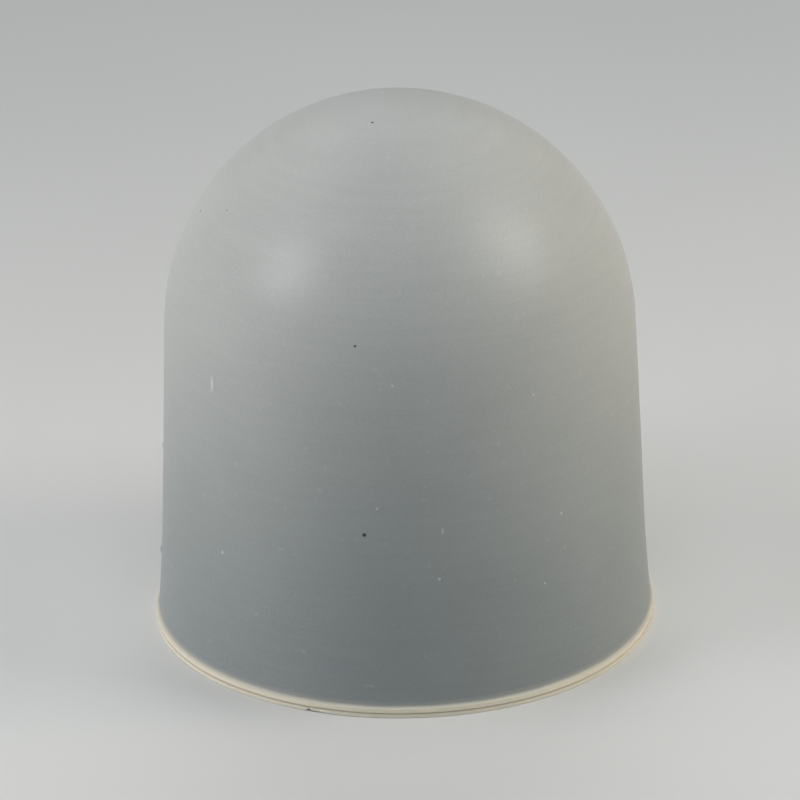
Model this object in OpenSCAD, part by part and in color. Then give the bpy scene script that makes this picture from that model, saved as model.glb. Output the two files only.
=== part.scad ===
// Highlighting cap: one soft silicone moulding that is pulled down over the hair.
// A round crown runs into a tall skirt, which opens a little towards the mouth and
// flares out gently above the rim. A small lip stiffens the rim, and below its
// parting line lies the trimmed moulding edge.
// Origin: centre of the rim plane. +Z: up through the crown. Millimetres.

/* [Cap] */
// Outer diameter of the round crown
crown_d = 161.5; // [140:0.5:164]
// Height of the crown's centre above the rim plane
skirt_h = 106.75; // [90:0.25:130]
// Outer diameter of the flared skirt at the rim plane, without the lip
mouth_d = 173.6; // [169:0.2:185]
// Thickness of the silicone
wall_t = 1.3; // [1:0.1:3]

/* [Flare] */
// Height over which the skirt flares out above the rim plane
flare_h = 40; // [20:1:60]
// How far the flare brings the skirt out at the rim plane
flare_out = 1.1; // [0.4:0.1:2]
// Height of the straight band just inside the mouth
band_h = 5; // [2:0.5:12]

/* [Rim] */
// How far the trimmed edge stands out from the skirt
lip_out = 0.75; // [0.7:0.05:2]
// Radius of the lip's rounded upper edge
lip_round_r = 0.45; // [0.3:0.05:0.5]
// Radius of the hollow blend from the skirt into the lip
lip_blend_r = 0.9; // [0.8:0.1:2]
// Height of the lip's upright side, above the parting line
lip_side_h = 1.4; // [0.5:0.1:3]

/* [Trimmed edge] */
// Height of the trimmed edge, from the rim plane to the parting line
trim_h = 1.3; // [0.6:0.1:2]
// How far the trimmed edge stands out beyond the lip
trim_step = 0.15; // [0.05:0.05:0.15]
// Width of the parting line at the surface
parting_w = 0.3; // [0.2:0.05:0.6]
// Depth of the parting line, from the lip's upright side
parting_depth = 0.35; // [0.1:0.05:0.4]

/* [Hidden] */
// Facets of a full circle in the preview
$fn = 180;
// Steps along each small arc of the lip
arc_steps = 12;
// Steps up the flare
flare_steps = 10;
// Length by which a cutting shape runs past the face that it opens
overrun = 1;
// Two shapes that would only touch cross by this much, so that they join cleanly
bite = 0.02;

crown_r = crown_d / 2;
cavity_r = crown_r - wall_t;
// Radius that the skirt would have at the rim plane without its flare
foot_r = mouth_d / 2 - flare_out;
// Angle above the crown's equator at which the straight skirt leaves the crown
touch_angle = acos((crown_r - bite) / norm([foot_r, skirt_h])) - atan2(skirt_h, foot_r);
// The band inside the mouth is a true cylinder of this radius
opening_r = skirt_radius(cavity_r, band_h);

trim_r = mouth_d / 2 + lip_out;
lip_r = trim_r - trim_step;
lip_side_top = trim_h + parting_w + lip_side_h;
// Centre of the lip's round, and of the hollow blend that touches it and bites the skirt
round_c = [lip_r - lip_round_r, lip_side_top];
blend_x = skirt_radius(crown_r, lip_side_top + lip_blend_r) + lip_blend_r - 2 * bite;
blend_rise = sqrt(pow(lip_round_r + lip_blend_r, 2) - pow(blend_x - round_c[0], 2));
blend_c = [blend_x, lip_side_top + blend_rise];
blend_angle = atan2(blend_rise, blend_x - round_c[0]);

// How far the flare stands out at a height: a parabola that starts smoothly at flare_h
function flare(z) = flare_out * pow(max(0, 1 - z / flare_h), 2);

// Radius at a height of the skirt that belongs to a crown of the given radius
function skirt_radius(radius, z) =
    (radius - bite + (skirt_h - z) * sin(touch_angle)) / cos(touch_angle) + flare(z);

// Points along an arc, from one angle to another
function arc(centre, radius, from, to) =
    [for (i = [0:arc_steps]) let (a = from + (to - from) * i / arc_steps)
        centre + radius * [cos(a), sin(a)]];

// Filled half section of a crown on its skirt, which ends foot_z above the rim plane
module filled_section(radius, foot_z) {
    touch_z = skirt_h + radius * sin(touch_angle);
    intersection() {
        translate([0, skirt_h]) circle(r = radius);
        translate([0, skirt_h]) square([radius + overrun, radius + overrun]);
    }
    polygon(concat(
        [[0, foot_z]],
        [for (i = [0:flare_steps]) let (z = foot_z + (flare_h - foot_z) * i / flare_steps)
            [skirt_radius(radius, z), z]],
        [[skirt_radius(radius, touch_z), touch_z], [0, touch_z]]
    ));
}

// Half section of the lip, with the trimmed edge below its parting line
module lip_section() {
    root_r = mouth_d / 2 - wall_t / 2;
    polygon(concat(
        [
            [root_r, 0],
            [trim_r, 0],
            [trim_r, trim_h],
            [lip_r - parting_depth, trim_h + parting_w / 2],
            [lip_r, trim_h + parting_w],
        ],
        arc(round_c, lip_round_r, 0, blend_angle),
        arc(blend_c, lip_blend_r, 180 + blend_angle, 180),
        [[root_r, blend_c[1]]]
    ));
}

// The whole cap: crown, skirt, lip and trimmed edge in one skin
module cap_shell() {
    color([0.72, 0.73, 0.73, 0.9])
    rotate_extrude()
    difference() {
        union() {
            filled_section(crown_r, 0);
            lip_section();
        }
        filled_section(cavity_r, band_h);
        translate([0, -overrun]) square([opening_r, band_h + overrun]);
    }
}

cap_shell();
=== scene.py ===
"""Highlighting cap: one moulding of milky silicone, standing on its rim on a pale floor.

Metres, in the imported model's own frame: the origin is the centre of the rim plane, +Z
goes up through the crown, and the front faces -Y. An angle round the cap is in degrees
from +X towards +Y, so the front is at -90.
"""

import math

import bpy
import numpy as np
from mathutils import Matrix, Vector


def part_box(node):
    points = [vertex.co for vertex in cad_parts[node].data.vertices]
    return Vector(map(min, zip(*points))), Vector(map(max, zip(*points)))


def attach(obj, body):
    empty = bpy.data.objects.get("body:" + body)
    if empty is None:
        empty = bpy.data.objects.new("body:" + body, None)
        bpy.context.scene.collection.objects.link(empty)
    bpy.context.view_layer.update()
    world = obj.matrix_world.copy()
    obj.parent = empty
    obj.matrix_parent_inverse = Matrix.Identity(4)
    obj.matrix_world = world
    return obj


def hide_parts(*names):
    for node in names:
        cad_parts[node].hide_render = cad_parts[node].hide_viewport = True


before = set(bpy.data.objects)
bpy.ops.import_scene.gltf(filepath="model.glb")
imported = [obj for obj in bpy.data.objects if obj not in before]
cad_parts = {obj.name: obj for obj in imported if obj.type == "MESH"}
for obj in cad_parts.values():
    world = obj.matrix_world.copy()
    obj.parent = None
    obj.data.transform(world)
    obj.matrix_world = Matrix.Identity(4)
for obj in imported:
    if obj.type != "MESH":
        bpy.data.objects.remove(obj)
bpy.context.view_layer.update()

MM = 0.001

# ---------------------------------------------------------------- the cap's section
_, CAP_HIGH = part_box("cap_shell")
TRIM_R = CAP_HIGH.x
TOP = CAP_HIGH.z
CROWN_R = 80.75 * MM
SKIRT_H = TOP - CROWN_R
WALL = 1.3 * MM
LIP_OUT = 0.75 * MM
FLARE_H = 40 * MM
FLARE_OUT = 1.1 * MM
BAND_H = 5 * MM
LIP_ROUND_R = 0.45 * MM
LIP_BLEND_R = 0.9 * MM
LIP_SIDE_H = 1.4 * MM
TRIM_H = 1.3 * MM
TRIM_STEP = 0.15 * MM
PARTING_W = 0.3 * MM
PARTING_DEPTH = 0.35 * MM

MOUTH_R = TRIM_R - LIP_OUT
FOOT_R = MOUTH_R - FLARE_OUT
TOUCH = math.acos(CROWN_R / math.hypot(FOOT_R, SKIRT_H)) - math.atan2(SKIRT_H, FOOT_R)

# How the whole skin leans: it bows to the right halfway up, and its crown hangs left
BOW = 0.8 * MM
LEAN = 0.65 * MM
COLUMNS = 480

# ------------------------------------------------------------- marks from the moulding
# Angles and widths round the cap are in degrees
NICK_AT = -112.0
NICK_W = 0.45
NICK_TAIL = 4.0
FIN_AT = -178.0
FIN_W = 0.7
FIN_H = 1.2 * MM
# The nibs' height and how far each stands out, and the bands where rows crowd round them
NIB_AT = -177.0
NIB_W = 0.8
NIBS = [(25.5 * MM, 0.5 * MM), (65 * MM, 0.3 * MM)]
LOW_BAND = (22 * MM, 27 * MM)
HIGH_BAND = (62 * MM, 67 * MM)

# Flecks in the skin: angle round the cap, height and width in millimetres, and for the
# pale ones how many times longer than wide they are
PALE_FLECKS = [
    (-141, 107, 1.1, 5.0), (-92, 117.5, 0.9, 1.0), (-57.5, 108.5, 0.9, 1.0),
    (-82, 49, 0.9, 1.0), (-56, 40.5, 0.9, 1.0), (-96, 74.5, 0.8, 1.0),
    (-50.5, 63.5, 0.9, 1.0), (-137, 48, 0.9, 1.3), (-81, 66, 0.5, 4.0),
    (-20, 88, 0.8, 1.0), (35, 52, 0.9, 1.0), (78, 121, 0.8, 1.0), (140, 70, 0.9, 2.0),
]
DARK_FLECKS = [
    (-99, 65, 1.3), (-101, 130, 0.8), (-116.5, 185.5, 0.9), (-173.5, 152, 0.9),
    (-156.5, 158.5, 0.7), (60, 95, 0.9), (118, 44, 0.7),
]


def arc(centre, radius, start, end, count):
    """Points on a circle's arc, from a start angle to an end angle in radians."""
    a = np.linspace(start, end, count)
    return np.stack([centre[0] + radius * np.cos(a), centre[1] + radius * np.sin(a)], axis=1)


def straight(start, end, count):
    """Evenly spaced points on a line, without its end point."""
    t = np.linspace(0, 1, count, endpoint=False)[:, None]
    return np.asarray(start) * (1 - t) + np.asarray(end) * t


def skirt_radius(radius, z):
    """Radius of the skirt under a crown of this radius: a straight line that touches the
    crown, plus a parabola that flares out below FLARE_H."""
    line = (radius + (SKIRT_H - z) * math.sin(TOUCH)) / math.cos(TOUCH)
    return line + FLARE_OUT * np.clip(1 - z / FLARE_H, 0, 1) ** 2


def skirt_line(radius, z_from, z_to, count):
    """Points down or up the skirt between two heights, without the last one."""
    z = np.linspace(z_from, z_to, count, endpoint=False)
    return np.stack([skirt_radius(radius, z), z], axis=1)


def section():
    """The closed half section as (radius, height) rows: over the crown, down the skirt,
    round the lip and its trimmed edge, and up the inside to the crown again."""
    inner_r = CROWN_R - WALL
    touch_z = SKIRT_H + CROWN_R * math.sin(TOUCH)
    inner_touch_z = SKIRT_H + inner_r * math.sin(TOUCH)
    lip_r = TRIM_R - TRIM_STEP
    side_foot = TRIM_H + PARTING_W
    side_top = side_foot + LIP_SIDE_H
    groove = (lip_r - PARTING_DEPTH, TRIM_H + PARTING_W / 2)
    round_c = (lip_r - LIP_ROUND_R, side_top)
    blend_x = skirt_radius(CROWN_R, side_top + LIP_BLEND_R) + LIP_BLEND_R
    across = blend_x - round_c[0]
    rise = math.sqrt((LIP_ROUND_R + LIP_BLEND_R) ** 2 - across ** 2)
    blend_c = (blend_x, side_top + rise)
    meet = math.atan2(rise, across)
    band_r = skirt_radius(inner_r, BAND_H)
    parts = [
        arc((0, SKIRT_H), CROWN_R, math.pi / 2, TOUCH, 42),
        skirt_line(CROWN_R, touch_z, HIGH_BAND[1], 20)[1:],
        skirt_line(CROWN_R, HIGH_BAND[1], HIGH_BAND[0], 12),
        skirt_line(CROWN_R, HIGH_BAND[0], FLARE_H, 10),
        skirt_line(CROWN_R, FLARE_H, LOW_BAND[1], 7),
        skirt_line(CROWN_R, LOW_BAND[1], LOW_BAND[0], 14),
        skirt_line(CROWN_R, LOW_BAND[0], blend_c[1], 12),
        arc(blend_c, LIP_BLEND_R, math.pi, math.pi + meet, 9),
        arc(round_c, LIP_ROUND_R, meet, 0, 8)[1:],
        straight((lip_r, side_top), (lip_r, side_foot), 5)[1:],
        straight((lip_r, side_foot), groove, 3),
        straight(groove, (TRIM_R, TRIM_H), 3),
        straight((TRIM_R, TRIM_H), (TRIM_R, 0), 6),
        straight((TRIM_R, 0), (band_r, 0), 5),
        straight((band_r, 0), (band_r, BAND_H), 5),
        skirt_line(inner_r, BAND_H, inner_touch_z, 22),
        arc((0, SKIRT_H), inner_r, TOUCH, math.pi / 2, 24),
    ]
    return np.concatenate(parts)


def crowded(angles, at, width):
    """Extra density of columns round an angle: five times e to the minus square of the
    distance over three widths."""
    away = (angles - at + 180) % 360 - 180
    return 5 * np.exp(-((away / (3 * width)) ** 2))


def columns(count):
    """Angles round the cap. They crowd together at the nick, and at the fin with the nibs
    beside it: the running sum of a density is cut into equal shares."""
    fine = np.linspace(-180, 180, 7201)
    density = 1 + crowded(fine, NICK_AT, NICK_W) + crowded(fine, FIN_AT, FIN_W)
    total = np.concatenate([[0], np.cumsum((density[1:] + density[:-1]) / 2)])
    return np.interp(np.arange(count) / count * total[-1], total, fine)


def waves(angle, seed, orders, size):
    """A smooth random wobble round the cap: sines of whole orders with random phases."""
    rng = np.random.default_rng(seed)
    out = np.zeros_like(angle)
    for order in orders:
        wave = np.sin(order * np.radians(angle) + rng.uniform(0, 2 * math.pi))
        out += wave * rng.uniform(0.4, 1)
    return size * out / math.sqrt(len(orders))


def bump(angle, at, width):
    """A smooth hump round one angle: e to the minus square of the distance over width."""
    away = (angle - at + 180) % 360 - 180
    return np.exp(-((away / width) ** 2))


def ease(value, start, end):
    """0 before start, 1 after end, and between them three times the square of the way
    across less twice its cube."""
    t = np.clip((value - start) / (end - start), 0, 1)
    return t * t * (3 - 2 * t)


def build_cap():
    """The cap's skin: the section turned round +Z on a grid of rows and columns. Small
    wobbles, the nibs and the nick add to each point's radius and height, and the lean
    adds to its x: BOW times t(1 - t) less LEAN times t cubed, where t is height over TOP."""
    rows = section()
    inner_pole = len(rows) - 1
    rim_row = np.argmax(rows[:, 1] <= 0)
    angle = columns(COLUMNS)
    r = rows[1:inner_pole, 0][:, None] * np.ones_like(angle)
    z = rows[1:inner_pole, 1][:, None] * np.ones_like(angle)
    a = np.ones_like(r) * angle
    outside = np.arange(1, inner_pole)[:, None] < rim_row

    # the whole skin: it leans by a fraction of a millimetre and isn't quite round
    t = z / TOP
    lean = BOW * t * (1 - t) - LEAN * t ** 3
    soft = ease(z, 0, 25 * MM) * (1 - ease(z, 0.8 * TOP, TOP))
    broad = waves(a, 3, (2, 3, 5), 0.12 * MM)
    twisting = waves(a + 400 * t, 4, (3, 4, 7), 0.05 * MM)
    r = r + soft * (broad + twisting)

    # the soft mouth is a little fuller on its right front than on its left
    mouth = 1 - ease(z, 0, 50 * MM)
    r = r + mouth * (0.45 * bump(a, -52, 28) - 0.25 * bump(a, -128, 28)) * MM
    low = 1 - ease(z, 4 * MM, 16 * MM)
    r = r + outside * low * 0.25 * bump(a, 6, 14) * MM

    # two nibs on the left: each starts with a step and fades away downwards
    for up, out in NIBS:
        fade = np.where(z > up, 0.3 * MM, 1.6 * MM)
        r = r + outside * out * bump(a, NIB_AT, NIB_W) * np.exp(-(((z - up) / fade) ** 2))

    # the trimmed edge: a ragged cut, with a nick
    trim = outside * (1 - ease(z, TRIM_H, TRIM_H + PARTING_W))
    r = r + trim * (waves(a, 5, (23, 37, 61, 97), 0.05 * MM) - 0.1 * MM)
    past = np.clip(a - NICK_AT, 0, None)
    nick = bump(a, NICK_AT, NICK_W)
    cut = np.maximum(0.65 * nick, 0.4 * (a > NICK_AT) * np.exp(-past / NICK_TAIL))
    z = z + (z < TRIM_H) * cut * (TRIM_H - z)
    r = r - trim * nick * 0.25 * MM

    # the lip: its rounded edge wanders up and down, and a fin of flash stands on it
    lip = outside * ease(z, TRIM_H + PARTING_W, 3 * MM) * (1 - ease(z, 4 * MM, 6 * MM))
    z = z + lip * waves(a, 6, (9, 14, 31), 0.08 * MM)
    z = z + lip * bump(a, FIN_AT, FIN_W) * FIN_H

    x = r * np.cos(np.radians(a)) + lean
    y = r * np.sin(np.radians(a))
    grid = np.stack([x, y, z], axis=2)
    grid[..., :2] = np.clip(grid[..., :2], -TRIM_R, TRIM_R)
    poles = np.array([[-LEAN, 0, TOP], [-LEAN, 0, TOP - WALL]])

    # The lip's cream tone: partly the cream of the trimmed edge, partly a painted glow of light
    # carried through the skin, and painted light over the shaded crease of the blend above the
    # lip
    cream_and_painted_glow = ease(-rows[:, 1], -5.0 * MM, -2.3 * MM)
    # A thin band along the parting groove, painted darker as painted shade in the groove
    parting = np.exp(-(((rows[:, 1] - TRIM_H - PARTING_W / 2) / (0.35 * MM)) ** 2))
    parting = parting * (np.arange(len(rows)) < rim_row)
    return skin_mesh("cap_shell_skin", grid, poles, {"lip": cream_and_painted_glow, "parting": parting})


def skin_mesh(name, grid, poles, tones):
    """A closed mesh from a grid that runs round an axis, with a pole at each end.

    Row by row, each column joins the next, and the two end rows join their pole. tones
    are values per row, poles included, that the material reads as attributes."""
    n_rows, n_cols = grid.shape[:2]
    verts = np.concatenate([poles[:1], grid.reshape(-1, 3), poles[1:]])
    at = 1 + np.arange(n_rows * n_cols).reshape(n_rows, n_cols)
    right = np.roll(at, -1, axis=1)
    quads = np.stack([at[:-1], at[1:], right[1:], right[:-1]], axis=-1).reshape(-1, 4)
    last = len(verts) - 1
    top = np.stack([np.zeros(n_cols, int), at[0], right[0]], axis=-1)
    under = np.stack([np.full(n_cols, last), right[-1], at[-1]], axis=-1)
    faces = quads.tolist() + top.tolist() + under.tolist()
    mesh = bpy.data.meshes.new(name)
    mesh.from_pydata(verts.tolist(), [], faces)
    for tone, by_row in tones.items():
        layer = mesh.attributes.new(tone, "FLOAT", "POINT")
        spread = np.repeat(by_row[1:-1], n_cols)
        layer.data.foreach_set("value", np.concatenate([by_row[:1], spread, by_row[-1:]]))
    mesh.polygons.foreach_set("use_smooth", np.ones(len(mesh.polygons), bool))
    mesh.update()
    made = bpy.data.objects.new(name, mesh)
    bpy.context.collection.objects.link(made)
    return made


# ------------------------------------------------------------------------- materials
def add(tree, kind, inputs=None, **settings):
    """A new node, with its settings, and its inputs linked or given a value."""
    made = tree.nodes.new(kind)
    for key, value in settings.items():
        setattr(made, key, value)
    for key, value in (inputs or {}).items():
        if isinstance(value, bpy.types.NodeSocket):
            tree.links.new(value, made.inputs[key])
        else:
            made.inputs[key].default_value = value
    return made


def maths(tree, operation, first, second):
    """The result of one operation on two values."""
    return add(tree, "ShaderNodeMath", {0: first, 1: second}, operation=operation).outputs[0]


def mix_colour(tree, factor, first, second, blend="MIX"):
    """Two colours mixed by a factor."""
    made = add(
        tree, "ShaderNodeMix", {0: factor, 6: first, 7: second},
        data_type="RGBA", blend_type=blend,
    )
    return made.outputs[2]


def ramp(tree, value, start, end, low=0.0, high=1.0):
    """A value between start and end, turned smoothly into one between low and high."""
    made = add(
        tree, "ShaderNodeMapRange", {0: value, 1: start, 2: end, 3: low, 4: high},
        interpolation_type="SMOOTHSTEP",
    )
    return made.outputs[0]


def noise(tree, coords, scale, detail=2.0, rough=0.5, stretch=(1, 1, 1)):
    """Noise of a scale per metre, squeezed along each axis by stretch."""
    mapped = add(tree, "ShaderNodeMapping", {"Vector": coords, "Scale": stretch}).outputs[0]
    made = add(tree, "ShaderNodeTexNoise", {
        "Vector": mapped, "Scale": scale, "Detail": detail, "Roughness": rough,
    })
    return made.outputs[0]


def grey(tree, tone):
    """A colour with the same tone in all three channels."""
    return add(tree, "ShaderNodeCombineColor", {0: tone, 1: tone, 2: tone}).outputs[0]


def vector(tree, operation, first, second):
    """The result of one operation on two vectors."""
    made = add(tree, "ShaderNodeVectorMath", {0: first, 1: second}, operation=operation)
    return made.outputs[0]


def how_far(tree, coords):
    """How far a place is from the origin of its coordinates."""
    made = add(tree, "ShaderNodeVectorMath", {0: coords}, operation="LENGTH")
    return made.outputs["Value"]


def new_material(name):
    """An empty node material with its output, and the object's own coordinates."""
    made = bpy.data.materials.new(name)
    made.use_nodes = True
    tree = made.node_tree
    tree.nodes.clear()
    out = add(tree, "ShaderNodeOutputMaterial")
    coords = add(tree, "ShaderNodeTexCoord").outputs["Object"]
    return made, tree, out, coords


def skin_radius(z):
    """Outer radius of the whole skin at a height: the crown's sphere, then the skirt."""
    if z > SKIRT_H + CROWN_R * math.sin(TOUCH):
        return math.sqrt(CROWN_R ** 2 - (z - SKIRT_H) ** 2)
    return float(skirt_radius(CROWN_R, z))


def fleck(tree, coords, around, height, width, length=1.0):
    """1 inside a small fleck in the skin and 0 outside it. Its place is an angle round the
    cap and a height in millimetres; length stretches it upwards."""
    z = height * MM
    r = skin_radius(z)
    place = (r * math.cos(math.radians(around)), r * math.sin(math.radians(around)), z)
    away = vector(tree, "SUBTRACT", coords, place)
    away = vector(tree, "MULTIPLY", away, (1, 1, 1 / length))
    return ramp(tree, how_far(tree, away), width * MM * 0.3, width * MM * 0.7, 1, 0)


def milky_silicone():
    """Soft milky silicone, with painted light up the crown and painted shade, darker and bluer,
    down the skirt; creamy on the lip, partly a painted glow; with a matt grain, faint clouds and
    turning marks from the mould."""
    made, tree, out, coords = new_material("matt_milky_silicone")
    height = add(tree, "ShaderNodeSeparateXYZ", {0: coords}).outputs[2]
    cloud = noise(tree, coords, 30, 2)
    grain = noise(tree, coords, 1800, 2, 0.7)
    rings = noise(tree, coords, 1, 2, 0.5, (30, 30, 520))
    # Painted light and shade by height: lighter up the crown, darker and bluer down the skirt,
    # with faint random clouds of tone added
    height_shade_and_clouds = ramp(tree, height, 10 * MM, 185 * MM)
    height_shade_and_clouds = maths(tree, "ADD", height_shade_and_clouds, ramp(tree, cloud, 0.3, 0.7, -0.03, 0.03))
    skin = mix_colour(tree, height_shade_and_clouds, (0.29, 0.32, 0.33, 1), (0.55, 0.56, 0.555, 1))
    fine = ramp(tree, grain, 0.3, 0.7, 0.95, 1.05)
    turned = ramp(tree, rings, 0.3, 0.7, 0.985, 1.015)
    speckle = maths(tree, "MULTIPLY", fine, turned)
    skin = mix_colour(tree, 1.0, skin, grey(tree, speckle), "MULTIPLY")
    pale = ramp(tree, noise(tree, coords, 420, 0), 0.80, 0.84, 0, 0.18)
    for around, height, width, length in PALE_FLECKS:
        pale = maths(tree, "MAXIMUM", pale, fleck(tree, coords, around, height, width, length))
    skin = mix_colour(tree, maths(tree, "MULTIPLY", pale, 0.7), skin, (0.72, 0.73, 0.70, 1))
    dark = 0.0
    for around, height, width in DARK_FLECKS:
        dark = maths(tree, "MAXIMUM", dark, fleck(tree, coords, around, height, width))
    skin = mix_colour(tree, dark, skin, (0.02, 0.02, 0.02, 1))
    # Cream on the lip: partly its own cream colour, partly a painted glow, and painted light over
    # the shaded crease above the lip
    lip = add(tree, "ShaderNodeAttribute", attribute_name="lip").outputs["Fac"]
    skin = mix_colour(tree, lip, skin, (0.90, 0.83, 0.70, 1))
    # Painted shade: dark brown in the parting groove
    parting = add(tree, "ShaderNodeAttribute", attribute_name="parting").outputs["Fac"]
    skin = mix_colour(tree, maths(tree, "MULTIPLY", parting, 0.4), skin, (0.16, 0.10, 0.06, 1))
    bumped = add(tree, "ShaderNodeBump", {
        "Height": rings, "Distance": 0.02 * MM, "Strength": 0.5,
    }).outputs[0]
    bumped = add(tree, "ShaderNodeBump", {
        "Height": grain, "Distance": 0.05 * MM, "Strength": 0.6, "Normal": bumped,
    }).outputs[0]
    shader = add(tree, "ShaderNodeBsdfPrincipled", {
        "Base Color": skin,
        "Roughness": ramp(tree, cloud, 0.3, 0.7, 0.38, 0.43),
        "Specular IOR Level": 0.8,
        "IOR": 1.41,
        "Subsurface Weight": 0.6,
        "Subsurface Radius": (1.0, 0.9, 0.8),
        "Subsurface Scale": 1.5 * MM,
        "Normal": bumped,
    })
    tree.links.new(shader.outputs[0], out.inputs[0])
    return made


def studio_floor():
    """Plain pale floor, very slightly uneven in tone, and painted paler far from the cap as
    painted light where the near boxes' light falls off.
    """
    made, tree, out, coords = new_material("studio_floor")
    # Painted light: the floor's tone rises with distance from the cap
    far_floor_painted_light = ramp(tree, how_far(tree, coords), 0.8, 3.0, 0.67, 0.89)
    uneven = ramp(tree, noise(tree, coords, 3, 2), 0.3, 0.7, 0, 0.02)
    shade = grey(tree, maths(tree, "ADD", far_floor_painted_light, uneven))
    shader = add(tree, "ShaderNodeBsdfPrincipled", {"Base Color": shade, "Roughness": 0.8})
    tree.links.new(shader.outputs[0], out.inputs[0])
    return made


# ------------------------------------------------------------------- floor and light
def lay_floor():
    """A wide flat sheet just under the rim."""
    half, gap = 30.0, 0.1 * MM
    mesh = bpy.data.meshes.new("floor")
    corners = [(-half, -half, -gap), (half, -half, -gap), (half, half, -gap), (-half, half, -gap)]
    mesh.from_pydata(corners, [], [(0, 1, 2, 3)])
    floor = bpy.data.objects.new("floor", mesh)
    floor.data.materials.append(studio_floor())
    bpy.context.collection.objects.link(floor)


def hang(light, round_to, up, distance):
    """Puts a light at an angle round the cap from the front, positive to the right, and an
    angle up, and turns it to face the crown's centre."""
    made = bpy.data.objects.new(light.name, light)
    side, rise = math.radians(round_to), math.radians(up)
    level = math.cos(rise)
    way = Vector((math.sin(side) * level, -math.cos(side) * level, math.sin(rise)))
    made.location = Vector((0, 0, SKIRT_H)) + way * distance
    made.rotation_mode = "QUATERNION"
    made.rotation_quaternion = way.to_track_quat("Z", "Y")
    made.visible_camera = False
    bpy.context.collection.objects.link(made)
    return made


def softbox(name, round_to, up, size, power, colour, opening=180):
    """A rectangular soft box. The opening is how widely its light spreads, in degrees; one
    with a grid, which is narrower, makes no highlight."""
    light = bpy.data.lights.new(name, "AREA")
    light.shape = "RECTANGLE"
    light.size, light.size_y = size
    light.energy, light.color = power, colour
    light.spread = math.radians(opening)
    made = hang(light, round_to, up, 1.3)
    made.visible_glossy = opening == 180
    return made


def wide_light(name, round_to, up, strength, colour):
    """Soft light from one side of the studio's ceiling, as strong on the whole floor."""
    light = bpy.data.lights.new(name, "SUN")
    light.angle = math.radians(40)
    light.energy, light.color = strength, colour
    made = hang(light, round_to, up, 3)
    made.visible_glossy = False
    return made


def light_studio():
    """Even light from the ceiling, warm boxes low at both sides, and two higher ones that
    make the soft highlights. The surround is pale to look at and gives no light."""
    wide_light("front_ceiling", 0, 60, 0.64, (0.90, 1.0, 1.0))
    wide_light("back_ceiling", 180, 40, 0.70, (0.95, 1.0, 0.99))
    wide_light("overhead", 0, 90, 0.68, (1.0, 0.95, 0.97))
    softbox("left_low", -94, 5, (0.5, 0.3), 0.55, (1.0, 0.95, 0.90), opening=50)
    softbox("right_low", 94, 5, (0.5, 0.3), 0.42, (1.0, 0.82, 0.55), opening=50)
    softbox("left_high", -67, 33, (0.55, 0.55), 4.2, (0.98, 1.0, 0.98))
    softbox("right_high", 79.5, 39, (0.55, 0.55), 4.6, (1.0, 1.0, 0.94))
    world = bpy.data.worlds.new("surround")
    world.use_nodes = True
    seen = add(world.node_tree, "ShaderNodeLightPath").outputs["Is Camera Ray"]
    backdrop = world.node_tree.nodes["Background"]
    backdrop.inputs["Color"].default_value = (0.46, 0.47, 0.47, 1)
    world.node_tree.links.new(seen, backdrop.inputs["Strength"])
    bpy.context.scene.world = world
    bpy.context.scene.view_settings.view_transform = "Standard"


# ---------------------------------------------------------------------------- camera
def place_camera():
    """A long lens in front of the cap, looking down on it a little."""
    reach, elevation, roll = 1.5, math.radians(23.2), math.radians(-1.0)
    aim_side, aim_height = -0.4 * MM, 0.417 * TOP
    aim = Vector((aim_side, 0, aim_height))
    back = Vector((0, -math.cos(elevation), math.sin(elevation)))
    camera = bpy.data.objects.new("camera", bpy.data.cameras.new("camera"))
    camera.data.sensor_width = 36
    camera.data.lens = 195.3
    facing = back.to_track_quat("Z", "Y").to_matrix().to_4x4()
    place = Matrix.Translation(aim + back * reach)
    camera.matrix_world = place @ facing @ Matrix.Rotation(roll, 4, "Z")
    bpy.context.collection.objects.link(camera)
    bpy.context.scene.camera = camera


place_camera()
cap = build_cap()
cap.data.materials.append(milky_silicone())
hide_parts("cap_shell")
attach(cap, "root")
lay_floor()
light_studio()
